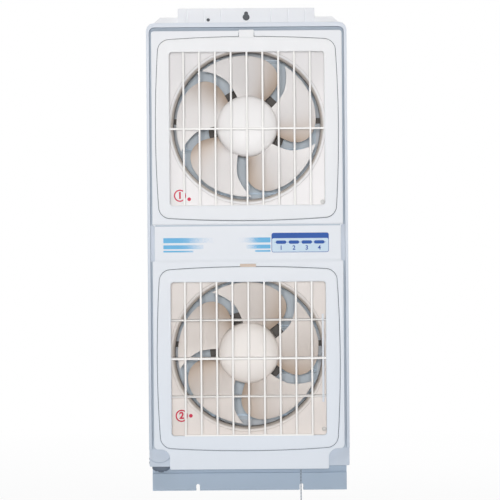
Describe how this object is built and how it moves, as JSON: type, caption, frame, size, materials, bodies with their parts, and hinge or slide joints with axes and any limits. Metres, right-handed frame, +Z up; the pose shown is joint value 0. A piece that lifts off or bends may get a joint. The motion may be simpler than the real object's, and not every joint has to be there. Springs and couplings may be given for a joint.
{
  "type": "window fan",
  "caption": "Tall window ventilation fan with stacked propeller fans behind barred grilles, louvre vanes, wind shutters, rail bracket and pull cord.",
  "frame": {"origin": "middle of the foot of the bottom bracket, where it rests on the window rail", "axes": "+Z up along the casing's length; -Y is the room side with the grilles; +X is to the right of a person who looks at it"},
  "size_m": [0.2809, 0.1527, 0.7748],
  "materials": {
    "white_panel": "satin",
    "frame_grey": "satin",
    "grille_white": "satin",
    "ivory": "satin",
    "rail_blue": "satin",
    "shutter_blue": "matte",
    "dark_steel": "satin",
    "bright_steel": "brushed",
    "bronze": "satin",
    "copper": "satin",
    "dark_plastic": "matte",
    "cord": "matte"
  },
  "bodies": {
    "casing": {"front_frame": "frame_grey", "front_panel": "white_panel", "rear_housing": "shutter_blue", "upper_orifice": "ivory", "upper_stator": "copper", "upper_front_bearing": "bronze", "upper_rear_bearing": "bronze", "upper_motor_front_shell": "dark_steel", "upper_motor_rear_shell": "dark_steel", "upper_motor_stay": "dark_steel", "upper_shutter_frame": "shutter_blue", "upper_orifice_screw": "bright_steel", "lower_orifice": "ivory", "lower_stator": "copper", "lower_front_bearing": "bronze", "lower_rear_bearing": "bronze", "lower_motor_front_shell": "dark_steel", "lower_motor_rear_shell": "dark_steel", "lower_motor_stay": "dark_steel", "lower_shutter_frame": "shutter_blue", "lower_orifice_screw": "bright_steel", "bottom_bracket": "rail_blue", "top_rail": "white_panel", "top_bracket": "white_panel", "left_bracket_screw": "bright_steel", "right_bracket_screw": "bright_steel", "pull_switch": "dark_plastic", "cord_guide": "grille_white", "run_capacitor": "white_panel", "terminal_block": "dark_plastic", "mains_gland": "dark_plastic"},
    "upper_fan": {"upper_propeller": "ivory", "upper_shaft": "bright_steel", "upper_rotor": "dark_steel"},
    "upper_grille": {"upper_grille": "grille_white"},
    "upper_shutter_slat_1": {"upper_shutter_slat_1": "shutter_blue"},
    "upper_shutter_slat_2": {"upper_shutter_slat_2": "shutter_blue"},
    "upper_shutter_slat_3": {"upper_shutter_slat_3": "shutter_blue"},
    "upper_shutter_link": {"upper_shutter_link": "shutter_blue"},
    "lower_fan": {"lower_propeller": "ivory", "lower_shaft": "bright_steel", "lower_rotor": "dark_steel"},
    "lower_grille": {"lower_grille": "grille_white"},
    "lower_shutter_slat_1": {"lower_shutter_slat_1": "shutter_blue"},
    "lower_shutter_slat_2": {"lower_shutter_slat_2": "shutter_blue"},
    "lower_shutter_slat_3": {"lower_shutter_slat_3": "shutter_blue"},
    "lower_shutter_link": {"lower_shutter_link": "shutter_blue"},
    "air_vane_1": {"air_vane_1": "grille_white"},
    "air_vane_2": {"air_vane_2": "grille_white"},
    "air_vane_3": {"air_vane_3": "grille_white"},
    "vane_rod": {"vane_rod": "grille_white"},
    "clamp_knob": {"clamp_knob": "dark_plastic"},
    "switch_lever": {"switch_lever": "grille_white"},
    "pull_cord": {"cord_stop": "bright_steel", "pull_cord": "cord", "cord_knob": "white_panel"}
  },
  "joints": [
    {"name": "upper_fan_spin", "type": "hinge", "parent": "casing", "child": "upper_fan", "pos_m": [0, 0, 0.5146], "axis": [0, 1, 0], "continuous": true},
    {"name": "upper_grille_tilt", "type": "hinge", "parent": "casing", "child": "upper_grille", "pos_m": [0, -0.0524, 0.3804], "axis": [1, 0, 0], "range_deg": [0, 70]},
    {"name": "upper_slat_1_swing", "type": "hinge", "parent": "casing", "child": "upper_shutter_slat_1", "pos_m": [0, 0.0908, 0.6116], "axis": [1, 0, 0], "range_deg": [0, 70]},
    {"name": "upper_slat_2_swing", "type": "hinge", "parent": "casing", "child": "upper_shutter_slat_2", "pos_m": [0, 0.0908, 0.54693], "axis": [1, 0, 0], "range_deg": [0, 70]},
    {"name": "upper_slat_3_swing", "type": "hinge", "parent": "casing", "child": "upper_shutter_slat_3", "pos_m": [0, 0.0908, 0.48227], "axis": [1, 0, 0], "range_deg": [0, 70]},
    {"name": "upper_link_swing", "type": "hinge", "parent": "upper_shutter_slat_1", "child": "upper_shutter_link", "pos_m": [-0.097, 0.0958, 0.5976], "axis": [1, 0, 0], "range_deg": [-70, 0]},
    {"name": "lower_fan_spin", "type": "hinge", "parent": "casing", "child": "lower_fan", "pos_m": [0, 0, 0.1936], "axis": [0, 1, 0], "continuous": true},
    {"name": "lower_grille_tilt", "type": "hinge", "parent": "casing", "child": "lower_grille", "pos_m": [0, -0.0524, 0.0594], "axis": [1, 0, 0], "range_deg": [0, 70]},
    {"name": "lower_slat_1_swing", "type": "hinge", "parent": "casing", "child": "lower_shutter_slat_1", "pos_m": [0, 0.0908, 0.2906], "axis": [1, 0, 0], "range_deg": [0, 70]},
    {"name": "lower_slat_2_swing", "type": "hinge", "parent": "casing", "child": "lower_shutter_slat_2", "pos_m": [0, 0.0908, 0.22593], "axis": [1, 0, 0], "range_deg": [0, 70]},
    {"name": "lower_slat_3_swing", "type": "hinge", "parent": "casing", "child": "lower_shutter_slat_3", "pos_m": [0, 0.0908, 0.16127], "axis": [1, 0, 0], "range_deg": [0, 70]},
    {"name": "lower_link_swing", "type": "hinge", "parent": "lower_shutter_slat_1", "child": "lower_shutter_link", "pos_m": [-0.097, 0.0958, 0.2766], "axis": [1, 0, 0], "range_deg": [-70, 0]},
    {"name": "air_vane_1_tilt", "type": "hinge", "parent": "casing", "child": "air_vane_1", "pos_m": [0, -0.028, 0.2411], "axis": [1, 0, 0], "range_deg": [-35, 35]},
    {"name": "air_vane_2_tilt", "type": "hinge", "parent": "casing", "child": "air_vane_2", "pos_m": [0, -0.028, 0.1876], "axis": [1, 0, 0], "range_deg": [-35, 35]},
    {"name": "air_vane_3_tilt", "type": "hinge", "parent": "casing", "child": "air_vane_3", "pos_m": [0, -0.028, 0.1341], "axis": [1, 0, 0], "range_deg": [-35, 35]},
    {"name": "vane_rod_swing", "type": "hinge", "parent": "air_vane_1", "child": "vane_rod", "pos_m": [0.104, -0.04, 0.2411], "axis": [1, 0, 0], "range_deg": [-35, 35]},
    {"name": "pull_cord_slide", "type": "slide", "parent": "casing", "child": "pull_cord", "axis": [0, 0, -1], "range_m": [0, 0.0075], "stiffness_N_per_m": 200, "springref_m": -0.005},
    {"name": "switch_lever_swing", "type": "hinge", "parent": "casing", "child": "switch_lever", "pos_m": [0.05, -0.028, 0.054], "axis": [0, 1, 0], "range_deg": [0, 20]},
    {"name": "clamp_knob_turn", "type": "hinge", "parent": "casing", "child": "clamp_knob", "pos_m": [-0.1242, -0.02, 0.0448], "axis": [0, 1, 0], "range_deg": [-180, 180]}
  ],
  "couplings": [
    {"joint": "upper_slat_2_swing", "follows": "upper_slat_1_swing", "ratio": 1},
    {"joint": "upper_slat_3_swing", "follows": "upper_slat_1_swing", "ratio": 1},
    {"joint": "upper_link_swing", "follows": "upper_slat_1_swing", "ratio": -1},
    {"joint": "lower_slat_2_swing", "follows": "lower_slat_1_swing", "ratio": 1},
    {"joint": "lower_slat_3_swing", "follows": "lower_slat_1_swing", "ratio": 1},
    {"joint": "lower_link_swing", "follows": "lower_slat_1_swing", "ratio": -1},
    {"joint": "air_vane_2_tilt", "follows": "air_vane_1_tilt", "ratio": 1},
    {"joint": "air_vane_3_tilt", "follows": "air_vane_1_tilt", "ratio": 1},
    {"joint": "vane_rod_swing", "follows": "air_vane_1_tilt", "ratio": -1},
    {"joint": "switch_lever_swing", "follows": "pull_cord_slide", "rad_per_m": 46}
  ]
}
